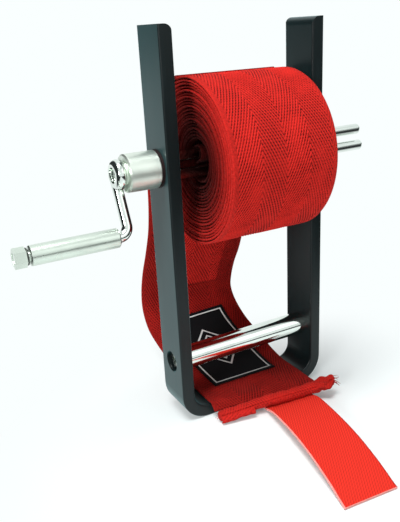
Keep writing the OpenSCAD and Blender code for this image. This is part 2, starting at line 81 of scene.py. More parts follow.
class WrapSizes(bpy.types.PropertyGroup):
    wrap_width: length("Wrap width", "Width of the wrap", 0.051)
    wrap_thickness: length("Wrap thickness", "Thickness of the wrap", 0.00083)
    axis_height: length("Axis height", "Height of the spindle axis", 0.1195)
    roll_shift: length("Roll shift", "Middle of the roll along the spindle", 0.0015)
    first_radius: length("First radius", "Radius of the first turn", 0.007035)
    turn_pitch: length("Turn pitch", "Distance from turn to turn", 0.00132)
    turns: IntProperty(name="Turns", description="Turns on the fork", default=20, min=4)
    core_loose: length("Core looseness", "How far the first turn loosens from the fork", 0.0022)
    turn_swell: length("Turn swell", "How far the inner turns bulge between their edges", 0.0005)
    dish: length("Dish", "How far the innermost turn stands to the right", 0.004225)
    prong_diameter: length("Prong diameter", "Diameter of each prong", 0.0049)
    prong_pitch: length("Prong pitch", "Distance between the prongs' axes", 0.0077)
    upper_angle: angle("Upper prong angle", "Angle of the upper prong about the spindle", 75)
    cloth_clear: length("Cloth clearance", "Room between layers of cloth", 0.00032)
    rib_pitch: length("Rib pitch", "Distance between ribs along the wrap", 0.0028)
    rib_slope: number("Rib slope", "Run of a rib along the wrap over its run across", 2.1)
    rib_depth: length("Rib depth", "Depth of the grooves between ribs", 0.00036)
    band_width: length("Band width", "Width of one herringbone band", 0.0116)
    selvedge: length("Selvedge", "Width of the plain edge of the wrap", 0.0023)
    base_top: length("Base top", "Height of the base under the tail", 0.006)
    bar_width: length("Bar width", "Width of the flat bar", 0.020)
    tail_reach: length("Tail reach", "How far back the tail bulges", 0.062)
    tail_fold: length("Tail fold", "Depth of the tail's folds", 0.003)
    tail_drift: length("Tail drift", "How far the tail drifts to the right", 0.0012)
    tail_spread: number("Tail spread", "Width of the loose tail over that of the roll", 1.04)
    hem_thickness: length("Hem thickness", "Thickness of the rolled hem", 0.005)
    hem_depth: length("Hem depth", "Depth of the rolled hem", 0.006)
    hem_turn: angle("Hem turn", "Turn of the hem about the vertical", 10.5)
    tab_width: length("Tab width", "Width of the closure tab", 0.0254)
    tab_thickness: length("Tab thickness", "Thickness of the closure tab", 0.0009)
    tab_arch: length("Tab arch", "Height of the closure tab's arch", 0.0064)
    tab_reach: length("Tab reach", "Distance of the tab's end from the axis", 0.094)
    label_thickness: length("Label thickness", "Thickness of the label", 0.0005)
    label_width: length("Label width", "Width of the label", 0.034)
    loop_band: length("Loop thickness", "Thickness of the thumb loop", 0.0009)
    loop_width: length("Loop width", "Width of the thumb loop's band", 0.007)
    loop_out: length("Loop reach", "How far the thumb loop stands out", 0.0045)
    loop_place: length("Loop place", "Distance of the thumb loop from the axis", 0.013)
    loop_span: length("Loop span", "Distance across the thumb loop", 0.0052)
    loop_angle: angle("Loop angle", "Angle of the thumb loop about the spindle", 345)


class FinishColours(bpy.types.PropertyGroup):
    rib_red: tint("Rib red", "Crests of the wrap's ribs", (0.60, 0.020, 0.0145))
    # The groove colour is painted shade in the gaps between ribs and threads.
    groove_shade_red: tint("Groove red", "Gaps between the wrap's threads", (0.06, 0.002, 0.002))
    lint_red: tint("Lint red", "Loose fibres on the wrap", (0.74, 0.075, 0.055))
    tab_red: tint("Tab red", "Face of the closure tab", (0.94, 0.044, 0.027))
    tab_pale: tint("Tab pale", "Cut edges and back of the closure tab", (0.86, 0.40, 0.36))
    label_black: tint("Label black", "Ground of the label", (0.0035, 0.0035, 0.004))
    label_white: tint("Label white", "Threads of the label's design", (0.80, 0.82, 0.80))
    frame_black: tint("Frame black", "Coating of the frame", (0.003, 0.006, 0.0065))
    chrome: tint("Chrome", "Bright plated parts", (0.80, 0.86, 0.81))
    nickel: tint("Nickel", "Brushed hub", (0.80, 0.87, 0.79))
    steel: tint("Steel", "Satin grip", (0.70, 0.78, 0.70))
    # The washer's red is darkened to near black as painted shade of the gap between hub and
    # upright.
    shaded_washer_red: tint("Washer red", "Fibre thrust washer", (0.014, 0.004, 0.004))
    bush_black: tint("Bush black", "Spindle bushes", (0.015, 0.015, 0.016))


class StageSettings(bpy.types.PropertyGroup):
    floor_tint: tint("Floor tint", "Colour of the floor", (0.90, 0.96, 0.96))
    backdrop_tint: tint("Backdrop tint", "Colour behind the object", (0.955, 1.0, 1.0))
    room_tint: tint("Room tint", "Dark parts of the studio", (0.03, 0.034, 0.036))
    world_strength: number("World strength", "Light from all round", 0.32)
    key_power: power("Key power", "Power of the main lamp", 8.5)
    fill_power: power("Fill power", "Power of the fill lamp", 0.4)
    side_power: power("Side power", "Power of the lamp on the left", 3.5)


# Mesh helpers


def smooth_rows(rows, splits):
    """Smooth curve through rows of numbers, with the rows themselves kept."""
    rows = np.asarray(rows, float)
    last = len(rows) - 1
    made = []
    for i in range(last):
        a, b = rows[max(i - 1, 0)], rows[i]
        c, d = rows[i + 1], rows[min(i + 2, last)]
        for k in range(splits):
            u = k / splits
            made.append(0.5 * (
                2 * b
                + (c - a) * u
                + (2 * a - 5 * b + 4 * c - d) * u * u
                + (3 * b - a - 3 * c + d) * u**3
            ))
    made.append(rows[last])
    return np.array(made)


def ease(u):
    u = np.clip(u, 0, 1)
    return u * u * (3 - 2 * u)


def bell(x, middle, width):
    return np.exp(-(((x - middle) / width) ** 2))


def unit(v):
    return v / np.maximum(np.linalg.norm(v, axis=-1, keepdims=True), 1e-12)


def running_length(points):
    steps = np.linalg.norm(np.diff(points, axis=0), axis=1)
    return np.concatenate([[0.0], np.cumsum(steps)])


def resample(rows, count):
    """Rows at even distances along their middle line."""
    run = running_length(rows[:, :3])
    wanted = np.linspace(0, run[-1], count)
    return np.stack([np.interp(wanted, run, column) for column in rows.T], 1)


def across_way(swing, lift):
    """Ways across a strip: swing turns them about the vertical, lift raises their right end."""
    level = np.cos(lift)
    return np.stack([np.cos(swing) * level, -np.sin(swing) * level, np.sin(lift)], 1)


def grid_normals(grid, side):
    """Normals of a grid of points; side is 1 or -1 for the face they stand on."""
    along, across = np.gradient(grid, axis=0), np.gradient(grid, axis=1)
    return side * unit(np.cross(along, across))


def strip_rings(middle, u_face, u_back, v, half, side, relief=None, mark=0.0):
    """Rings round a strip of cloth with rounded edges, and their cloth coordinates.

    middle(u) gives the strip's middle surface at the places u across it. relief(u, v)
    raises the face. mark sets the back's cloth coordinates apart.
    """
    face, back = middle(u_face), middle(u_back)
    face_n, back_n = grid_normals(face, side), grid_normals(back, side)
    half = np.broadcast_to(half, v.shape)[:, None, None]
    lift = half if relief is None else half + relief(u_face[None, :], v[:, None])[..., None]
    right_out = unit(face[:, -1] - face[:, -2])[:, None]
    left_out = unit(face[:, 0] - face[:, 1])[:, None]
    turn = np.radians([45, 90, 135])[None, :, None]
    right = face[:, -1:] + half * (np.cos(turn) * face_n[:, -1:] + np.sin(turn) * right_out)
    turn = turn[:, ::-1]
    left = face[:, :1] + half * (np.cos(turn) * face_n[:, :1] + np.sin(turn) * left_out)
    under = (back - half * back_n)[:, ::-1]
    rings = np.concatenate([face + lift * face_n, right, under, left], axis=1)
    u = np.concatenate([u_face, [u_face[-1]] * 3, u_back[::-1] + mark, [u_face[0]] * 3])
    cloth = np.stack(np.broadcast_arrays(u[None, :], v[:, None]), axis=-1)
    return rings, cloth


def tube_faces(rows, sides):
    """Quads between closed rings, with a cap at each end."""
    i, k = np.meshgrid(np.arange(rows - 1), np.arange(sides), indexing="ij")
    n = (k + 1) % sides
    quads = np.stack(
        [i * sides + k, i * sides + n, (i + 1) * sides + n, (i + 1) * sides + k], -1
    ).reshape(-1, 4)
    caps = [list(range(sides))[::-1], list(range((rows - 1) * sides, rows * sides))]
    return quads.tolist() + caps


def signed_volume(points, faces):
    """Volume inside a shell's quads, below 0 when they face inwards."""
    p, q, r, t = (points[[f[k] for f in faces if len(f) == 4]] for k in range(4))
    return float((p * (np.cross(q, r) + np.cross(r, t))).sum()) / 6


def make_piece(name, shells):
    """One mesh object with flat caps, from shells: (rings, cloth coordinates) each."""
    points, cloth, faces = [], [], []
    for rings, coords in shells:
        rows, sides = rings.shape[:2]
        flat = rings.reshape(-1, 3)
        made = tube_faces(rows, sides)
        if signed_volume(flat - flat.mean(axis=0), made) < 0:
            made = [f[::-1] for f in made]
        first = sum(len(p) for p in points)
        faces += [[k + first for k in f] for f in made]
        points.append(flat)
        cloth.append(coords.reshape(-1, 2))
    mesh = bpy.data.meshes.new(name)
    mesh.from_pydata(np.concatenate(points).tolist(), [], faces)
    mesh.update()
    layer = mesh.uv_layers.new(name="cloth")
    corner = np.zeros(len(mesh.loops), np.int32)
    mesh.loops.foreach_get("vertex_index", corner)
    uv = np.concatenate(cloth)[corner]
    layer.data.foreach_set("uv", uv.astype(np.float32).ravel())
    mesh.polygons.foreach_set("use_smooth", np.array([len(f) < 6 for f in faces]))
    piece = bpy.data.objects.new(name, mesh)
    bpy.context.scene.collection.objects.link(piece)
    return piece


def cord(line, radius, sides=6):
    """Rings of a thin thread along a line of points, with a pointed end."""
    aside, tip_share, cloth_step = np.array([0.3, 0.5, 0.81]), 0.45, 0.4 * MM
    ahead = unit(np.gradient(line, axis=0))
    one = unit(np.cross(ahead, aside))
    two = np.cross(ahead, one)
    a = np.linspace(0, 2 * pi, sides, endpoint=False)[None, :, None]
    thin = radius * np.linspace(1, tip_share, len(line))[:, None, None]
    rings = line[:, None] + thin * (np.cos(a) * one[:, None] + np.sin(a) * two[:, None])
    return rings, np.zeros((*rings.shape[:2], 2)) + cloth_step * np.arange(sides)[None, :, None]


def settle(name, shells, body, finish):
    """A piece from its shells, with its finish, body and material slot."""
    piece = make_piece(name, shells)
    piece.data.materials.append(finish)
    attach(piece, body)
    return piece


# Cloth shapes

# How fine the strips are, along and across
INNER_STEPS, OUTER_STEPS = 48, 400
TAIL_SPLITS, TAIL_COUNT, TAB_COUNT, LOOP_COUNT = 24, 440, 200, 60
INNER_COLUMNS, OUTER_COLUMNS, TAIL_BACK_COLUMNS = 6, 150, 24
LABEL_COLUMNS, TAB_COLUMNS, LOOP_COLUMNS, FLAP_COLUMNS, HEM_SIDES = 48, 60, 12, 14, 64

# Rows of the tail that carry the label, and its crease in millimetres
LABEL_FROM, LABEL_TO = 12, 17
CREASE_HEIGHT, HANGS_BEHIND = 37, 40

# Places as shares of half the wrap's width and of the bar's width
RIDGE_PLACE, HEM_PLACE = 0.667, 1.08

# Room over the table, and how far a marked back's cloth coordinates are set apart
TABLE_GAP, BACK_MARK = 0.2 * MM, 0.1


def places(span, columns):
    """Places across a strip, from its left edge to its right one."""
    return np.linspace(-span, span, columns + 1)


def rib_wave(s, u, v):
    """Height of the herringbone ribs, from 0 in a groove to 1 on a crest."""
    band = s.band_width
    place = np.mod(u + band, 2 * band)
    zigzag = band - np.abs(place - band)
    wave = 0.5 + 0.5 * np.cos(2 * pi * (v + s.rib_slope * zigzag) / s.rib_pitch)
    edge = s.wrap_width / 2 - s.selvedge
    blend, plain_height = 0.6 * MM, 0.75
    plain = np.clip((np.abs(u) - edge) / blend + 0.5, 0, 1)
    return wave * (1 - plain) + plain_height * plain


def rib_relief(s):
    """How far the ribs stand over the strip's mean face, as a function of the cloth's place."""
    mean_height = 0.6
    return lambda u, v: s.rib_depth * (rib_wave(s, u, v) - mean_height)


def turn_radius(s, k):
    """Radius of the wound strip after k turns."""
    return s.first_radius + s.core_loose * ease(k) + s.turn_pitch * k


def turn_path(s, from_turn, to_turn, steps):
    """Points (y, z) of the wound strip about the spindle axis, with their turn."""
    k = np.arange(round(from_turn * steps), round(to_turn * steps) + 1) / steps
    a = s.upper_angle - 2 * pi * k
    loose = np.clip(np.minimum(k - 1, s.turns - 1 - k), 0, 1)
    waver = 0.09 * np.sin(5.3 * k + 1) + 0.05 * np.sin(17.9 * k)
    r = turn_radius(s, k) + loose * MM * waver
    return np.stack([r * np.cos(a), r * np.sin(a)], 1), k


def lead_path(s):
    """The strip's start: between the prongs and round the upper one."""
    up = np.array([cos(s.upper_angle), sin(s.upper_angle)])
    side = np.array([-up[1], up[0]])
    lead_r = s.prong_diameter / 2 + s.cloth_clear + s.wrap_thickness / 2
    reach, step, start_share = 75, 7.5, 0.45
    a = np.radians(np.arange(-reach, reach + 1, step))[:, None]
    arc = (s.prong_pitch / 2 + lead_r * np.sin(a)) * up + lead_r * np.cos(a) * side
    return np.concatenate([[-start_share * s.first_radius * side], arc])


def turn_shift(s, r, k):
    """How far a turn stands to the right of the outermost one, with uneven edges."""
    last_r = turn_radius(s, s.turns)
    share = (last_r - np.clip(r, s.first_radius, last_r)) / (last_r - s.first_radius)
    waver = 0.30 * np.sin(2.6 * k + 0.4) + 0.24 * np.sin(7.9 * k) + 0.10 * np.sin(23 * k + 2)
    return s.dish * share + MM * waver * np.minimum(1, 5 * share)


def roll_shells(s):
    """Shells of the wound strip and its length: the last turn is fine, with ribs."""
    lead = lead_path(s)
    inner, inner_k = turn_path(s, 0, s.turns - 1, INNER_STEPS)
    outer, outer_k = turn_path(s, s.turns - 1, s.turns, OUTER_STEPS)
    path, path_k = np.concatenate([lead, inner]), np.concatenate([np.zeros(len(lead)), inner_k])
    v = running_length(path)
    v_outer = v[-1] + running_length(outer)
    half = s.wrap_thickness / 2
    span = s.wrap_width / 2 - half
    shells = []
    for line, k, along, columns, relief in (
        (path, path_k, v, INNER_COLUMNS, None),
        (outer, outer_k, v_outer, OUTER_COLUMNS, rib_relief(s)),
    ):
        radius = np.linalg.norm(line, axis=1)
        x = s.roll_shift + turn_shift(s, radius, k)
        swell = s.turn_swell * ease(k / 2) * ease((s.turns - 1 - k) / 3)

        def middle(u, line=line, x=x, swell=swell, radius=radius):
            full = 1 + swell[:, None] * (1 - (u / span) ** 2) / radius[:, None]
            grid = np.zeros((len(line), len(u), 3))
            grid[..., 0] = x[:, None] + u[None, :]
            grid[..., 1] = line[:, None, 0] * full
            grid[..., 2] = s.axis_height + line[:, None, 1] * full
            return grid

        u_face, u_back = places(span, columns), places(span, INNER_COLUMNS)
        shells.append(strip_rings(middle, u_face, u_back, along, half, -1, relief))
    return shells, v_outer[-1]


def tail_rows(s):
    """Cross rows of the tail in millimetres and degrees: middle, swing, lift, fold and spread."""
    lie = s.wrap_thickness / 2 + s.cloth_clear
    tail_r = (turn_radius(s, s.turns) + s.wrap_thickness / 2 + lie) / MM
    axis, base = s.axis_height / MM, (s.base_top + lie) / MM
    slack, shift, drift = s.tail_reach / MM - tail_r, s.roll_shift / MM, s.tail_drift / MM
    bar, hem, turn = s.bar_width / MM, s.hem_thickness / MM, degrees(s.hem_turn)

    def on_roll(round_axis, off=0.0, swing=0.0):
        a = radians(round_axis)
        y, z = tail_r * cos(a) + off * slack, axis + tail_r * sin(a)
        return [shift, y, z, swing, 0, 0, 0]

    def hanging(share, back, swing, lift, fold):
        x, z = shift * share + drift * (1 - share), base + share * (axis - base)
        return [x, tail_r + back * slack, z, swing, lift, fold, 1 - share]

    def on_base(back, rise, swing, lift, fold):
        return [drift / 2, back * bar, base + rise * hem, swing, lift, fold, 1]

    return [
        on_roll(94), on_roll(75), on_roll(56), on_roll(37), on_roll(18, 0.1, 3),
        hanging(0.95, 0.22, 8, 0, 0.1),
        hanging(0.83, 0.25, 12, 0, 0.3),
        hanging(0.71, 0.28, 13, -2, 0.7),
        hanging(0.59, 0.36, 16, -4, 1),
        hanging(0.48, 0.56, 19, -1, 1),
        hanging(0.37, 0.82, 21, 3, 0.9),
        hanging(0.27, 0.98, 21, 6, 0.6),
        hanging(0.19, 1, 20, 10, 0.3),
        hanging(0.12, 0.8, 19, 12, 0.15),
        hanging(0.07, 0.4, 18, 9, 0.08),
        on_base(1.5, 0.8, 14, 6, 0.04),
        on_base(0.95, 0.32, 8, 2.2, 0),
        on_base(0.35, 0.04, 3, 0, 0),
        on_base(0, 0, 1, 0, 0),
        on_base(-0.425, 0, 3, 0, 0),
        on_base(-0.7, 0, 8, 0.2, 0),
        on_base(-0.8, -0.12, 9.5, 2, 0),
        on_base(-0.91, -0.3, turn, 4.2, 0),
    ]


def tail_surface(s, rows):
    """The tail's middle surface as a function of the places across it, in metres."""
    across = across_way(np.radians(rows[:, 3]), np.radians(rows[:, 4]))
    across *= (1 + (s.tail_spread - 1) * rows[:, 6])[:, None]
    out = unit(np.array([0, -1, 0.4]))
    middle = rows[:, :3] * MM
    crease_depth, crease_width = 0.22, 3.2
    crease = crease_depth * bell(rows[:, 2], CREASE_HEIGHT, crease_width)
    crease *= rows[:, 1] > HANGS_BEHIND
    ridge_width, soft, steep = 0.42, 0.03, 4.2

    def surface(u):
        q = u / (s.wrap_width / 2)
        rise, fall = bell(q, RIDGE_PLACE, ridge_width), 1 - steep * (q - RIDGE_PLACE)
        ridge = -soft * np.log(np.exp(-rise / soft) + np.exp(-fall / soft))
        hollow = 0.4 * bell(q, -0.4, 0.34)
        depth = rows[:, 5:6] * (ridge - hollow) - crease[:, None] * bell(q, 0.1, 0.5)
        flat = middle[:, None] + u[None, :, None] * across[:, None]
        return flat + s.tail_fold * depth[..., None] * out

    return surface


def tail_line(s):
    """Fine rows of the tail, without the row that leads the curve in."""
    return smooth_rows(tail_rows(s), TAIL_SPLITS)[TAIL_SPLITS:]


def hem_rows(splits):
    """Rows of the hem: place along the strip's end, height over the table, and how full it is."""
    rows = [
        [-0.5, 0, 0.75], [-0.47, 0.02, 0.95], [-0.3, 0.18, 1], [-0.1, 0.4, 0.97],
        [0.1, 0.54, 1.02], [0.3, 0.66, 1], [0.45, 0.74, 1.05], [0.55, 0.86, 1.12],
        [0.63, 1.06, 0.95], [0.67, 1.2, 0.55],
    ]
    return smooth_rows(rows, splits)


def hem_frame(s, rows):
    """Middle line of the hem, the way along it and the way to its front."""
    c, n = cos(s.hem_turn), sin(s.hem_turn)
    place = rows[:, 0] * s.wrap_width
    z = s.hem_thickness * (0.5 + rows[:, 1]) + TABLE_GAP
    middle = np.stack([place * c, -HEM_PLACE * s.bar_width - place * n, z], 1)
    return middle, np.array([c, -n, 0]), np.array([-n, -c, 0])


def hem_rings(s):
    """Rings of the rolled hem, from its left end to its curled right end."""
    rows = hem_rows(TAIL_SPLITS)
    middle, _, front = hem_frame(s, rows)
    a = np.linspace(0, 2 * pi, HEM_SIDES, endpoint=False)[None, :]
    p = rows[:, 0:1] * s.wrap_width
    loose = ease((rows[:, 0:1] - 0.36) / 0.26)
    pucker = 0.045 * np.sin(p / 0.0011 + 2 * np.sin(a)) + 0.05 * np.sin(p / 0.0043 + a)
    crumple = loose * (
        0.20 * np.sin(3 * a + p / 0.0021)
        + 0.13 * np.sin(5 * a - p / 0.0013)
        + 0.09 * np.sin(9 * a + p / 0.0009)
    )
    fold = -0.22 * bell(a, 0.55, 0.16) - 0.12 * bell(a, pi - 0.3, 0.3)
    full = rows[:, 2:3] * (1 + pucker + crumple + fold * (1 - 0.6 * loose))
    lean = 0.35 * MM * loose[..., None] * UP * np.sin(p / 0.0017)[..., None]
    rings = (
        middle[:, None] + lean
        + (full * np.cos(a))[..., None] * front * s.hem_depth / 2
        + (full * np.sin(a))[..., None] * UP * s.hem_thickness / 2
    )
    round_it = a * (s.hem_depth + s.hem_thickness) / 4
    return rings, np.stack(np.broadcast_arrays(p, round_it), -1)


def hem_flap(s):
    """The loose layer of the folded end, along the front of the hem's left part."""
    left, right, deep, half_thick = -0.495, -0.17, 3.4 * MM, 0.33 * MM
    rows = hem_rows(40)
    rows = rows[(rows[:, 0] > left) & (rows[:, 0] < right)]
    middle, _, front = hem_frame(s, rows)
    place = rows[:, 0] * s.wrap_width
    wavy = np.sin(place / 0.0019) + 0.6 * np.sin(place / 0.0008)
    top = middle + front * (0.46 * s.hem_depth) + 0.16 * UP * s.hem_thickness
    droop = 0.50 + 0.03 * wavy

    def surface(u):
        q = (u / deep + 0.5)[None, :, None]
        out = front * s.hem_depth * (0.16 * np.sin(pi * q) + 0.10 * q)
        down = -UP * s.hem_thickness * droop[:, None, None] * q
        return top[:, None] + out + down + front * 0.1 * MM * wavy[:, None, None] * q

    u = places(deep / 2, FLAP_COLUMNS)
    return strip_rings(surface, u, u, place, half_thick, 1)


def hem_threads(s):
    """Stitches along the hem, and loose threads at its ends."""
    stitches, right_threads, left_threads = 21, 16, 5
    shells = []
    rows = hem_rows(60)
    middle, along, front = hem_frame(s, rows)
    t = np.linspace(-1, 1, 7)[:, None]
    for k in range(stitches):
        at = -0.44 + 0.0435 * k
        i = int(np.abs(rows[:, 0] - at).argmin())
        a = 0.32 + 0.06 * sin(2.1 * k)
        out = cos(a) * front * s.hem_depth / 2 + sin(a) * UP * s.hem_thickness / 2
        line = middle[i] + rows[i, 2] * 1.01 * out + t * (0.8 * along + 0.42 * UP) * MM
        shells.append(cord(line - 0.25 * MM * t * t * unit(out), 0.17 * MM, 5))
    end, start = middle[-1], middle[0]
    q = np.linspace(0, 1, 8)[:, None]
    for k in range(right_threads):
        a, spread = 2 * pi * k / right_threads, 0.45 + 0.35 * sin(5.1 * k)
        off = cos(a) * front * 1.9 + sin(a) * UP * 1.6
        root = end - 0.4 * MM * along + spread * MM * off
        far = (2.2 + 1.5 * sin(3.7 * k + 1)) * MM
        way = unit(along + 0.7 * cos(a) * front + (0.55 * sin(a) - 0.1) * UP)
        bend = 0.5 * far * (sin(2.9 * k) * front - (0.4 + 0.4 * cos(1.7 * k)) * UP)
        shells.append(cord(root + far * q * way + q * q * bend, (0.16 + 0.05 * sin(k)) * MM))
    q = np.linspace(0, 1, 7)[:, None]
    for k in range(left_threads):
        root = start + front * (0.9 - 0.45 * k) * MM + UP * (0.9 * sin(2 * k)) * MM
        far = (1.5 + 0.7 * sin(4 * k)) * MM
        line = root - far * q * along - 0.5 * far * q * q * UP * cos(k)
        shells.append(cord(line, 0.14 * MM))
    return shells


def tab_rows(s):
    """Cross rows of the closure tab, from under the hem to the table: middle, swing and lift."""
    start = np.array([10.2 * MM, -HEM_PLACE * s.bar_width])
    end = np.array([-2.5 * MM, -s.tab_reach])
    low, arch = s.tab_thickness / 2 + TABLE_GAP, s.tab_arch
    high = TABLE_GAP + 0.56 * s.hem_thickness - s.cloth_clear - s.tab_thickness / 2
    climb, turn = arch - high, degrees(s.hem_turn)
    rows = []
    for share, z, swing, lift in (
        (0, high, turn, 3.6), (0.028, high, turn, 3.6),
        (0.069, high + 0.2 * climb, 9.5, 3.4), (0.138, high + 0.6 * climb, 7, 2.2),
        (0.269, high + 0.87 * climb, 5.5, 1), (0.434, arch, 5, 0), (0.559, 0.97 * arch, 4.7, 0),
        (0.669, 0.86 * arch, 4.4, 0), (0.834, 0.55 * arch, 4, 0),
        (0.945, low + 0.12 * arch, 3.8, 0), (1, low, 3.8, 0),
    ):
        x, y = start + share * (end - start)
        rows.append([x, y, z, radians(swing), radians(lift)])
    return rows


def row_surface(rows):
    """A strip's middle surface through its rows, as a function of the places across it."""
    across = across_way(rows[:, 3], rows[:, 4])
    return lambda u: rows[:, None, :3] + u[None, :, None] * across[:, None]


# Material helpers


class Nodes:
    """Short ways to add nodes to a tree."""

    def __init__(self, tree):
        self.tree = tree

    def add(self, kind, inputs=None, **settings):
        node = self.tree.nodes.new(kind)
        for key, value in settings.items():
            setattr(node, key, value)
        for key, value in (inputs or {}).items():
            self.put(value, node.inputs[key])
        return node

    def put(self, value, socket):
        if isinstance(value, bpy.types.NodeSocket):
            self.tree.links.new(value, socket)
        elif hasattr(value, "__len__") and len(value) == 3 and socket.type == "RGBA":
            socket.default_value = (*value, 1)
        else:
            socket.default_value = value

    def calc(self, operation, *values, clamp=False):
        inputs = dict(enumerate(values))
        return self.add("ShaderNodeMath", inputs, operation=operation, use_clamp=clamp).outputs[0]

    def times(self, first, *others):
        for value in others:
            first = self.calc("MULTIPLY", first, value)
        return first

    def linear(self, value, slope, start, clamp=False):
        return self.calc("MULTIPLY_ADD", value, slope, start, clamp=clamp)

    def measure(self, operation, first, second):
        """A number from two vectors: their dot product or distance."""
        inputs = {0: first, 1: second}
        return self.add("ShaderNodeVectorMath", inputs, operation=operation).outputs["Value"]

    def ramp(self, value, low, high, to_low=0.0, to_high=1.0):
        inputs = {"Value": value, "From Min": low, "From Max": high}
        inputs |= {"To Min": to_low, "To Max": to_high}
        node = self.add("ShaderNodeMapRange", inputs, interpolation_type="SMOOTHSTEP")
        return node.outputs["Result"]

    def mix(self, share, first, second):
        """Two colours mixed; the node's sockets are known by number."""
        share_in, first_in, second_in, colour_out = 0, 6, 7, 2
        inputs = {share_in: share, first_in: first, second_in: second}
        return self.add("ShaderNodeMix", inputs, data_type="RGBA").outputs[colour_out]

    def noise(self, vector, scale, detail=2.0, roughness=0.5):
        inputs = {"Vector": vector, "Scale": scale, "Detail": detail, "Roughness": roughness}
        return self.add("ShaderNodeTexNoise", inputs).outputs["Fac"]

    def kind(self, kind):
        return next(n for n in self.tree.nodes if n.type == kind)

    def seen(self):
        """1 for what the camera, a mirror or a clear piece sees, 0 for light on a surface."""
        light = self.add("ShaderNodeLightPath")
        both = self.calc("MAXIMUM", light.outputs["Is Camera Ray"], light.outputs["Is Glossy Ray"])
        return self.calc("MAXIMUM", both, light.outputs["Is Transmission Ray"])

    def mirrored(self):
        """1 for what a mirror sees."""
        return self.add("ShaderNodeLightPath").outputs["Is Glossy Ray"]

    def show(self, share, first, second, output):
        """Send a mix of two shaders to the tree's output."""
        both = self.add("ShaderNodeMixShader", {0: share, 1: first, 2: second})
        self.put(both.outputs[0], self.kind(output).inputs["Surface"])


class Finish(Nodes):
    """A material with a Principled shader."""

    def __init__(self, name, **sockets):
        self.material = bpy.data.materials.new(name)
        self.material.use_nodes = True
        super().__init__(self.material.node_tree)
        self.shader = self.kind("BSDF_PRINCIPLED")
        for label, value in sockets.items():
            self.put(value, self.shader.inputs[label.replace("_", " ")])

    def place(self):
        return self.add("ShaderNodeTexCoord").outputs["Object"]

    def stretched(self, vector, scale):
        return self.add("ShaderNodeMapping", {"Vector": vector, "Scale": scale}).outputs[0]

    def cloth_place(self):
        """(across, along) of the cloth in millimetres, and both as a vector."""
        flat = self.scale(self.add("ShaderNodeUVMap", uv_map="cloth").outputs[0], 1 / MM)
        parts = self.add("ShaderNodeSeparateXYZ", {0: flat})
        return parts.outputs[0], parts.outputs[1], flat

    def colour(self, value):
        self.put(value, self.shader.inputs["Base Color"])

    def roughness(self, value):
        self.put(value, self.shader.inputs["Roughness"])

    def scale(self, value, share):
        inputs = {0: value, "Scale": share}
        return self.add("ShaderNodeVectorMath", inputs, operation="SCALE").outputs[0]

    def bump(self, height, depth, strength):
        inputs = {"Height": height, "Distance": depth, "Strength": strength}
        self.put(self.add("ShaderNodeBump", inputs).outputs[0], self.shader.inputs["Normal"])


def wave(f, value, pitch):
    """A smooth wave from 0 to 1 with its crest where value is a whole number of pitches."""
    turn = f.times(value, 2 * pi / pitch)
    return f.linear(f.calc("COSINE", turn), 0.5, 0.5)


def scaled(colour, share):
    return tuple(share * x for x in colour)


# Share of its colour that cloth keeps in mirrors
IN_MIRRORS = 0.5


def woven_cotton(name, s, c, bright=1.0, ribs=1.0, wound=False, crease=None):
    """Herringbone cotton: slanted ribs in bands, cross threads, loose fibres and plain edges, with
    painted shade in the grooves; bright dims the whole colour as painted shade, wound adds painted
    shade towards the core and crease adds painted light and shade about the tail's crease.
    """
    f = Finish(
        name, Roughness=0.92, Specular_IOR_Level=0.08,
        Sheen_Weight=0.05, Sheen_Roughness=0.5, Sheen_Tint=(1.0, 0.4, 0.36),
    )
    across, along, flat = f.cloth_place()
    band, weft_pitch, thread_pitch = s.band_width / MM, 1.3, 0.55
    zigzag = f.calc("PINGPONG", f.calc("ADD", across, band), band)
    drift = f.times(f.calc("SUBTRACT", f.noise(flat, 0.22, 1), 0.5), 0.4)
    phase = f.calc("ADD", f.linear(zigzag, s.rib_slope, along), drift)
    rib = wave(f, phase, s.rib_pitch / MM)
    weft = wave(f, along, weft_pitch)
    fine = wave(f, across, thread_pitch)
    edge = (s.wrap_width / 2 - s.selvedge) / MM
    plain = f.ramp(f.calc("ABSOLUTE", across), edge - 0.3, edge + 0.3)
    fuzz = f.noise(flat, 3.2, 3, 0.65)
    mottle = f.noise(flat, 0.11, 2)
    strength = f.ramp(f.noise(flat, 0.09, 2), 0.25, 0.62, 0.45 * ribs, 1.25 * ribs)
    gap = f.calc("POWER", f.calc("SUBTRACT", 1.0, rib), 1.8)
    gap = f.times(gap, strength, f.linear(weft, -0.65, 1.0))
    gap = f.linear(plain, f.calc("SUBTRACT", 0.25, gap), gap)
    gap = f.linear(f.calc("SUBTRACT", 0.5, fuzz), 0.75, gap)
    gap = f.linear(f.calc("SUBTRACT", mottle, 0.5), 0.35, gap, clamp=True)
    lint = f.times(f.ramp(f.noise(flat, 4.6, 2, 0.7), 0.63, 0.74), 0.55)
    # Groove colour (painted shade) where gap is high; gap also carries random mottle and fuzz, and
    # bright dims all three colours as painted shade.
    body = f.mix(gap, scaled(c.rib_red, bright), scaled(c.groove_shade_red, bright))
    body = f.mix(lint, body, scaled(c.lint_red, bright))
    # Painted shade: the wound cloth darkens towards the core.
    if wound:
        body = f.mix(painted_core_shade(f, s), scaled(c.groove_shade_red, 0.03), body)
    # Painted light and shade about the tail's crease.
    if crease:
        body = f.scale(body, painted_crease_light(f, across, along, crease))
    f.colour(f.scale(body, f.ramp(f.mirrored(), 0.0, 1.0, 1.0, IN_MIRRORS)))
    height = f.linear(weft, 0.3, rib)
    height = f.calc("ADD", height, f.times(fine, 0.12))
    f.bump(f.linear(fuzz, 0.5, height), 0.22 * MM, 0.85)
    return f.material


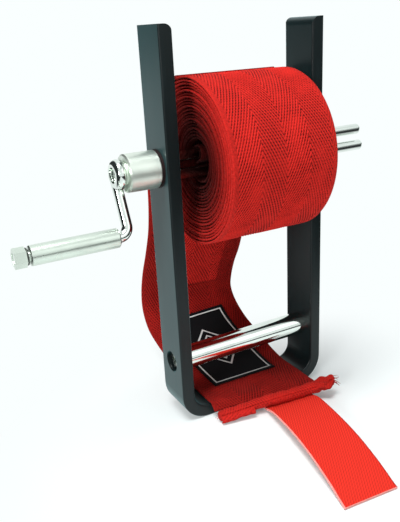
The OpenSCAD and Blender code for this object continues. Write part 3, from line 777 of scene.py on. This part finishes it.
def painted_core_shade(f, s):
    """Share of its colour the wound cloth keeps, as painted shade: dim towards the core, full on
    the outermost turn.
    """
    flat_on = f.stretched(f.place(), (0, 1, 1))
    radius = f.measure("DISTANCE", flat_on, (0, 0, s.axis_height))
    last = turn_radius(s, s.turns)
    share = f.linear(radius, 1.3 / last, -0.26, clamp=True)
    inner = f.linear(f.calc("POWER", share, 2.0), 1.15, 0.07, clamp=True)
    return f.calc("MAXIMUM", inner, f.ramp(radius, 0.972 * last, 0.992 * last))


def painted_crease_light(f, across, along, crease):
    """Painted light and shade on the tail: its front is painted brighter above the crease, with a
    painted dark line along the crease and painted shade beside the ridge; below the crease the
    cloth is dimmed as painted shade.
    """
    ridge, bright, dark, low_light = 15.5, 0.7, -0.42, 0.82
    normal = f.add("ShaderNodeTexCoord").outputs["Normal"]
    facing = f.add("ShaderNodeSeparateXYZ", {0: normal}).outputs["Y"]
    hung = f.times(
        f.ramp(along, crease - 60, crease - 40), f.ramp(across, -14, -6), f.ramp(facing, 0.1, -0.2)
    )
    above = f.ramp(along, crease + 0.6, crease - 0.6)
    beside = f.ramp(across, ridge - 0.8, ridge + 0.8)
    flat = f.times(hung, above, f.calc("SUBTRACT", 1.0, beside))
    line = f.ramp(f.calc("ABSOLUTE", f.calc("SUBTRACT", along, crease)), 1.6, 0.2)
    line = f.times(line, hung, f.ramp(across, ridge + 4, ridge - 2))
    # Painted shade: the cloth dims below the crease, towards the base.
    low = f.ramp(along, crease - 2, crease + 24, 1.0, low_light)
    light = f.linear(flat, bright, low)
    return f.linear(line, dark, light)


def hook_tape(name, s, c, long):
    """Closure tape: fine diagonal hooks, pale cut edges, a paler back and a painted shadow along
    its right edge.
    """
    f = Finish(name, Roughness=0.9, Specular_IOR_Level=0.06)
    across, along, flat = f.cloth_place()
    one = wave(f, f.linear(along, 0.35, across), 1.15)
    two = wave(f, f.linear(across, 0.5, along), 1.3)
    hooks = f.linear(one, 0.65, f.times(two, 0.35))
    fuzz = f.noise(flat, 2.4, 2, 0.6)
    tone = f.linear(fuzz, 0.5, f.times(hooks, 0.6), clamp=True)
    body = f.mix(tone, scaled(c.tab_red, 0.45), c.tab_red)
    half, back = s.tab_width / 2 / MM, BACK_MARK / MM
    # The pale left rim is the tape's paler cut edge, with painted bounce light on it; the right
    # edge gets a painted shadow instead.
    rim = f.ramp(f.times(across, -1.0), half - 0.62, half - 0.40)
    # Painted shadow along the tape's right edge.
    painted_edge_shadow = f.ramp(across, half - 0.9, half - 0.5, 0.0, 0.45)
    end = f.ramp(f.calc("MINIMUM", along, f.calc("SUBTRACT", long / MM, along)), 0.35, 0.1)
    pale = f.times(f.calc("MAXIMUM", rim, end), 0.85)
    body = f.mix(painted_edge_shadow, body, scaled(c.tab_red, 0.35))
    body = f.mix(f.ramp(across, 0.4 * back, 0.6 * back), body, scaled(c.tab_pale, 0.8))
    f.colour(f.mix(pale, body, c.tab_pale))
    f.bump(f.linear(fuzz, 0.4, hooks), 0.12 * MM, 0.7)
    return f.material


def woven_label(name, s, c, long):
    """Black label with a plain border and nested diamonds in pale thread."""
    f = Finish(name, Roughness=0.85, Specular_IOR_Level=0.08)
    across, along, flat = f.cloth_place()
    ring_pitch, largest, smallest, margin = 1.9, 12.5, 3.1, 2.0
    side = f.calc("ABSOLUTE", across)
    end = f.calc("ABSOLUTE", along)
    ring = f.calc("ADD", side, f.times(end, 0.72))
    stroke = f.ramp(f.calc("PINGPONG", ring, ring_pitch), 0.62, 0.50)
    inside = f.ramp(ring, largest + 0.1, largest - 0.1)
    centre = f.ramp(ring, smallest - 0.1, smallest + 0.1)
    design = f.times(stroke, inside, centre)
    rim_x = f.calc("SUBTRACT", s.label_width / 2 / MM - margin, side)
    rim_y = f.calc("SUBTRACT", long / 2 / MM - margin, end)
    rim = f.calc("ABSOLUTE", f.calc("MINIMUM", rim_x, rim_y))
    border = f.ramp(rim, 0.42, 0.30)
    weft = wave(f, along, 0.42)
    warp = wave(f, across, 0.5)
    white = f.calc("MAXIMUM", design, border)
    white = f.times(white, f.linear(weft, 0.35, 0.65))
    ground = f.mix(f.noise(flat, 1.6, 2), c.label_black, scaled(c.label_black, 2.2))
    f.colour(f.mix(white, ground, c.label_white))
    height = f.linear(weft, 0.6, f.times(warp, 0.4))
    f.bump(f.calc("ADD", height, f.times(white, 0.8)), 0.10 * MM, 0.7)
    return f.material


def coated_black(name, colour):
    """Satin black coating with a fine orange peel and faint scuffs."""
    f = Finish(
        name, Specular_IOR_Level=0.27,
        Sheen_Weight=0.38, Sheen_Roughness=0.35, Sheen_Tint=(0.35, 0.9, 0.95),
    )
    place = f.place()
    peel = f.noise(place, 900, 3, 0.6)
    scuff = f.noise(f.stretched(place, (60, 60, 9)), 3.0, 4, 0.6)
    f.colour(f.mix(f.ramp(scuff, 0.45, 0.75), colour, scaled(colour, 1.7)))
    f.roughness(f.linear(scuff, 0.16, 0.26))
    f.bump(peel, 0.02 * MM, 0.3)
    return f.material


def plated(name, colour, rough, grain, depth):
    """Plated or brushed metal: grain gives the direction of its fine lines."""
    f = Finish(name, Metallic=1.0)
    place = f.place()
    lines = f.noise(f.stretched(place, grain), 1.0, 3, 0.6)
    smear = f.noise(place, 90, 3)
    f.colour(f.mix(f.ramp(smear, 0.35, 0.75), colour, scaled(colour, 0.88)))
    dull = f.linear(smear, 0.3 * rough, 0.7 * rough)
    f.roughness(f.linear(lines, 0.25 * rough, dull))
    f.bump(lines, depth, 0.2)
    return f.material


def pressed_fibre(name, colour):
    """Dense fibre or plain nylon, for washer and bushes."""
    f = Finish(name, Specular_IOR_Level=0.3)
    grain = f.noise(f.place(), 1500, 3, 0.6)
    f.colour(f.mix(grain, scaled(colour, 0.5), scaled(colour, 1.5)))
    f.roughness(f.linear(grain, 0.2, 0.5))
    f.bump(grain, 0.03 * MM, 0.5)
    return f.material


# Operators


class WRAPROLLER_OT_hardware(bpy.types.Operator):
    """Give the frame, spindle, crank and guide bar their finishes"""

    bl_idname = "wraproller.hardware"
    bl_label = "Finish Hardware"

    def execute(self, context):
        c = context.scene.finish_colours
        turned, drawn, cast = (900, 30, 30), (300, 60, 60), (400, 400, 400)
        fine, finer = 0.0015 * MM, 0.0004 * MM
        chrome = plated("bright chrome", c.chrome, 0.09, drawn, finer)
        satin = plated("satin steel", c.steel, 0.30, turned, fine)
        screw = plated("screw steel", scaled(c.chrome, 0.85), 0.2, cast, finer)
        finishes = (
            (chrome, ("guide_bar", "upper_prong", "lower_prong", "crank_arm")),
            (satin, ("grip_sleeve", "grip_nut")),
            (screw, ("left_guide_screw", "right_guide_screw", "arm_screw")),
            (pressed_fibre("bush", c.bush_black), ("left_bush", "right_bush")),
            (coated_black("frame coating", c.frame_black), ("u_frame",)),
            (pressed_fibre("thrust washer", c.shaded_washer_red), ("thrust_washer",)),
            (plated("brushed nickel", c.nickel, 0.40, turned, fine), ("crank_hub",)),
            (plated("dark washer", scaled(c.steel, 0.12), 0.45, cast, finer), ("grip_washer",)),
        )
        for finish, nodes in finishes:
            for node in nodes:
                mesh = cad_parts[node].data
                mesh.materials.clear()
                mesh.materials.append(finish)
        return {"FINISHED"}


class WRAPROLLER_OT_roll(bpy.types.Operator):
    """Wind the wrap on the fork and add its thumb loop"""

    bl_idname = "wraproller.roll"
    bl_label = "Wind Roll"

    def execute(self, context):
        s, c = context.scene.wrap_sizes, context.scene.finish_colours
        cotton = woven_cotton("wound cotton", s, c, wound=True)
        shells, long = roll_shells(s)
        roll = settle("roll_cloth", shells, "roll", cotton)
        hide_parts("wrap_roll")
        loop = settle("thumb_loop_band", [self.loop(s)], "roll", cotton)
        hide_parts("thumb_loop")
        return {"FINISHED"}

    @staticmethod
    def loop(s):
        """A band bent to a loop whose two legs stand on the dished end of the roll."""
        half_span = s.loop_span / 2
        bend = half_span - s.loop_band / 2
        a = np.radians(np.linspace(90, 270, 25))
        arc = np.stack([half_span - s.loop_out + bend * np.cos(a), bend * np.sin(a)], 1)
        line = resample(np.concatenate([[[0, bend]], arc, [[0, -bend]]]), LOOP_COUNT)
        v = running_length(line)
        last_r = turn_radius(s, s.turns)
        slope = s.dish / (last_r - s.first_radius)
        foot_x = s.roll_shift - s.wrap_width / 2 + slope * (last_r - s.loop_place) - s.cloth_clear
        tilt = atan(slope)
        place = (
            Matrix.Translation((foot_x, 0, s.axis_height))
            @ Matrix.Rotation(s.loop_angle, 4, "X")
            @ Matrix.Translation((0, s.loop_place, 0))
            @ Matrix.Rotation(tilt, 4, "Z")
        )
        turn, move = np.array(place.to_3x3()), np.array(place.translation)

        def middle(u):
            grid = np.zeros((len(line), len(u), 3))
            grid[..., :2] = line[:, None]
            grid[..., 2] = u[None, :]
            return grid @ turn.T + move

        u = places(s.loop_width / 2 - s.loop_band / 2, LOOP_COLUMNS)
        return strip_rings(middle, u, u, v, s.loop_band / 2, 1)


class WRAPROLLER_OT_tail(bpy.types.Operator):
    """Hang the tail behind the roll, with its label and rolled hem"""

    bl_idname = "wraproller.tail"
    bl_label = "Hang Tail"

    def execute(self, context):
        s, c = context.scene.wrap_sizes, context.scene.finish_colours
        rows = tail_line(s)
        run = running_length(rows[:, :3] * MM)
        below = (rows[:, 1] > HANGS_BEHIND) & (rows[:, 2] < CREASE_HEIGHT)
        crease = run[np.argmax(below)] / MM
        # The hanging tail's colour is dimmed to 0.60 as painted shade, with painted light and
        # shade about its crease.
        cotton = woven_cotton("hanging cotton", s, c, bright=0.60, ribs=0.9, crease=crease)
        tail = settle("tail_cloth", [self.tail(s, rows)], "frame", cotton)
        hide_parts("wrap_tail")
        label_shell, label_long = self.label(s)
        finish = woven_label("woven label", s, c, label_long)
        label = settle("label_patch", [label_shell], "frame", finish)
        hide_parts("wrap_label")
        # The hem's colour is dimmed to 0.9 as painted shade.
        hem_cotton = woven_cotton("hem cotton", s, c, bright=0.9, ribs=0.5)
        hem_shells = [hem_rings(s), hem_flap(s), *hem_threads(s)]
        hem = settle("hem_fold", hem_shells, "frame", hem_cotton)
        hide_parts("wrap_hem")
        return {"FINISHED"}

    @staticmethod
    def tail(s, rows):
        """Rings of the hanging strip, with ribs on its face."""
        rows = resample(rows, TAIL_COUNT)
        v = running_length(rows[:, :3] * MM)
        half = s.wrap_thickness / 2
        span = s.wrap_width / 2 - half
        surface = tail_surface(s, rows)
        u_face, u_back = places(span, OUTER_COLUMNS), places(span, TAIL_BACK_COLUMNS)
        return strip_rings(surface, u_face, u_back, v, half, 1, rib_relief(s))

    @staticmethod
    def label(s):
        """Rings of the label, which follows the tail's face, and its length."""
        rows = tail_line(s)[LABEL_FROM * TAIL_SPLITS : LABEL_TO * TAIL_SPLITS + 1]
        v = running_length(rows[:, :3] * MM)
        long = v[-1]
        surface = tail_surface(s, rows)
        off = s.wrap_thickness / 2 + s.cloth_clear + s.label_thickness / 2

        def middle(u):
            grid = surface(u)
            return grid + off * grid_normals(grid, 1)

        half = s.label_thickness / 2
        u = places(s.label_width / 2 - half, LABEL_COLUMNS)
        return strip_rings(middle, u, u, v - long / 2, half, 1), long


class WRAPROLLER_OT_tab(bpy.types.Operator):
    """Lay the closure tab from under the hem to the table"""

    bl_idname = "wraproller.tab"
    bl_label = "Lay Closure Tab"

    def execute(self, context):
        s, c = context.scene.wrap_sizes, context.scene.finish_colours
        rows = resample(smooth_rows(tab_rows(s), TAIL_SPLITS), TAB_COUNT)
        v = running_length(rows[:, :3])
        half = s.tab_thickness / 2
        u = places(s.tab_width / 2 - half, TAB_COLUMNS)
        shell = strip_rings(row_surface(rows), u, u, v, half, 1, mark=BACK_MARK)
        tape = hook_tape("hook tape", s, c, v[-1])
        tab = settle("tab_tape", [shell], "frame", tape)
        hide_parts("closure_tab")
        return {"FINISHED"}


# Stage

# Lamps: name, place, size and the setting of their power
LAMPS = (
    ("key lamp", (-0.25, -0.14, 0.95), 0.40, "key_power"),
    ("fill lamp", (0.36, -0.66, 0.56), 0.5, "fill_power"),
    ("side lamp", (-0.78, -0.48, 0.36), 0.2, "side_power"),
)
LAMP_AIM = (0, 0, 0.09)

# The photograph's camera: place, yaw, pitch and roll in degrees, focal length in pixels
CAMERA_PLACE, CAMERA_TURN, FOCAL = (-0.14922, -0.24188, 0.17393), (27.78, 20.00, -3.16), 641.4

# Level ways to the camera's right and ahead of it, and the middle of the floor's shadows
RIGHT, AHEAD = (0.885, -0.466, 0), (0.466, 0.885, 0)
SHADOW_PLACE, FLOOR_SIZE = (0.01, -0.07, 0), 6


class WRAPROLLER_OT_stage(bpy.types.Operator):
    """Set up the floor, the soft lamps, the pale surroundings and the camera"""

    bl_idname = "wraproller.stage"
    bl_label = "Set Up Stage"

    def execute(self, context):
        scene, g = context.scene, context.scene.stage_settings
        scene.view_settings.view_transform = "Standard"
        self.floor(g)
        self.world(scene, g)
        for name, place, size, watts in LAMPS:
            self.lamp(name, place, size, getattr(g, watts))
        self.camera(scene)
        return {"FINISHED"}

    @staticmethod
    def floor(g):
        """A floor that glows away from its shadows; mirrors see dark flags on it."""
        bpy.ops.object.select_all(action="DESELECT")
        bpy.ops.mesh.primitive_plane_add(size=FLOOR_SIZE, location=(0, 0, 0))
        floor = bpy.context.object
        floor.name = "floor"
        f = Finish("pale floor", Roughness=0.85, Specular_IOR_Level=0.05)
        f.colour(g.floor_tint)
        place = f.place()
        far = f.measure("DISTANCE", place, SHADOW_PLACE)
        share = f.times(f.seen(), f.ramp(far, 0.04, 0.16, 0.12, 1.0))
        right = f.measure("DOT_PRODUCT", place, RIGHT)
        ahead = f.measure("DOT_PRODUCT", place, AHEAD)
        beside = f.ramp(f.calc("ABSOLUTE", right), 0.12, 0.20)
        flag = f.times(beside, f.ramp(ahead, 0.06, -0.04), f.mirrored())
        share = f.calc("MAXIMUM", share, flag)
        colour = f.mix(flag, g.backdrop_tint, g.room_tint)
        glow = f.add("ShaderNodeEmission", {"Color": colour})
        f.show(share, f.shader.outputs[0], glow.outputs[0], "OUTPUT_MATERIAL")
        floor.data.materials.append(f.material)

    @staticmethod
    def world(scene, g):
        """Even soft light; mirrors see white walls with dark flags in front and at the sides."""
        world = bpy.data.worlds.new("studio")
        world.use_nodes = True
        scene.world = world
        n = Nodes(world.node_tree)
        soft = n.kind("BACKGROUND")
        n.put(g.backdrop_tint, soft.inputs["Color"])
        n.put(g.world_strength, soft.inputs["Strength"])
        way = n.add("ShaderNodeTexCoord").outputs["Generated"]
        parts = n.add("ShaderNodeSeparateXYZ", {0: way})
        right = n.measure("DOT_PRODUCT", way, RIGHT)
        side = n.calc("MAXIMUM", n.ramp(right, 0.85, 0.95), n.ramp(right, -0.40, -0.58))
        front = n.ramp(parts.outputs["Y"], 0.05, -0.15)
        over = n.ramp(parts.outputs["Z"], 0.66, 0.80, 0.0, 0.25)
        flag = n.times(n.calc("MAXIMUM", side, n.times(front, over)), n.mirrored())
        colour = n.mix(flag, g.backdrop_tint, g.room_tint)
        walls = n.add("ShaderNodeBackground", {"Color": colour})
        n.show(n.seen(), soft.outputs[0], walls.outputs[0], "OUTPUT_WORLD")

    @staticmethod
    def lamp(name, place, size, power):
        data = bpy.data.lights.new(name, "AREA")
        data.size, data.energy = size, power
        lamp = bpy.data.objects.new(name, data)
        aim = Vector(LAMP_AIM) - Vector(place)
        lamp.location = place
        lamp.rotation_euler = aim.to_track_quat("-Z", "Y").to_euler()
        bpy.context.scene.collection.objects.link(lamp)

    @staticmethod
    def camera(scene):
        """A camera that sees the object as the photograph does."""
        yaw, pitch, roll = (radians(a) for a in CAMERA_TURN)
        level = cos(pitch)
        ahead = Vector((sin(yaw) * level, cos(yaw) * level, -sin(pitch)))
        right = Vector((cos(yaw), -sin(yaw), 0))
        up = right.cross(ahead)
        c, s = cos(roll), sin(roll)
        right, up = c * right + s * up, c * up - s * right
        data = bpy.data.cameras.new("camera")
        data.sensor_fit, data.sensor_width = "AUTO", 36
        data.lens = FOCAL / max(IMAGE) * data.sensor_width
        data.clip_start, data.clip_end = 0.01, 20
        camera = bpy.data.objects.new("camera", data)
        axes = Matrix((right, up, -ahead)).transposed()
        camera.matrix_world = Matrix.Translation(CAMERA_PLACE) @ axes.to_4x4()
        scene.collection.objects.link(camera)
        scene.camera = camera


# Panel and registration


class WRAPROLLER_PT_panel(bpy.types.Panel):
    bl_label = "Wrap Roller"
    bl_idname = "WRAPROLLER_PT_panel"
    bl_space_type = "VIEW_3D"
    bl_region_type = "UI"
    bl_category = "Wrap Roller"

    def draw(self, context):
        for operator in OPERATORS:
            self.layout.operator(operator.bl_idname)
        for group in GROUPS:
            settings = getattr(context.scene, group)
            box = self.layout.box()
            for name in settings.__annotations__:
                box.prop(settings, name)


OPERATORS = (
    WRAPROLLER_OT_hardware,
    WRAPROLLER_OT_roll,
    WRAPROLLER_OT_tail,
    WRAPROLLER_OT_tab,
    WRAPROLLER_OT_stage,
)
GROUPS = {
    "wrap_sizes": WrapSizes,
    "finish_colours": FinishColours,
    "stage_settings": StageSettings,
}
CLASSES = (*GROUPS.values(), *OPERATORS, WRAPROLLER_PT_panel)


def register():
    for cls in CLASSES:
        bpy.utils.register_class(cls)
    for name, group in GROUPS.items():
        setattr(bpy.types.Scene, name, PointerProperty(type=group))


def unregister():
    for name in GROUPS:
        delattr(bpy.types.Scene, name)
    for cls in reversed(CLASSES):
        bpy.utils.unregister_class(cls)


def main():
    register()
    bpy.ops.object.select_all(action="DESELECT")
    bpy.ops.wraproller.hardware()
    bpy.ops.wraproller.roll()
    bpy.ops.wraproller.tail()
    bpy.ops.wraproller.tab()
    bpy.ops.wraproller.stage()


if __name__ == "__main__":
    main()
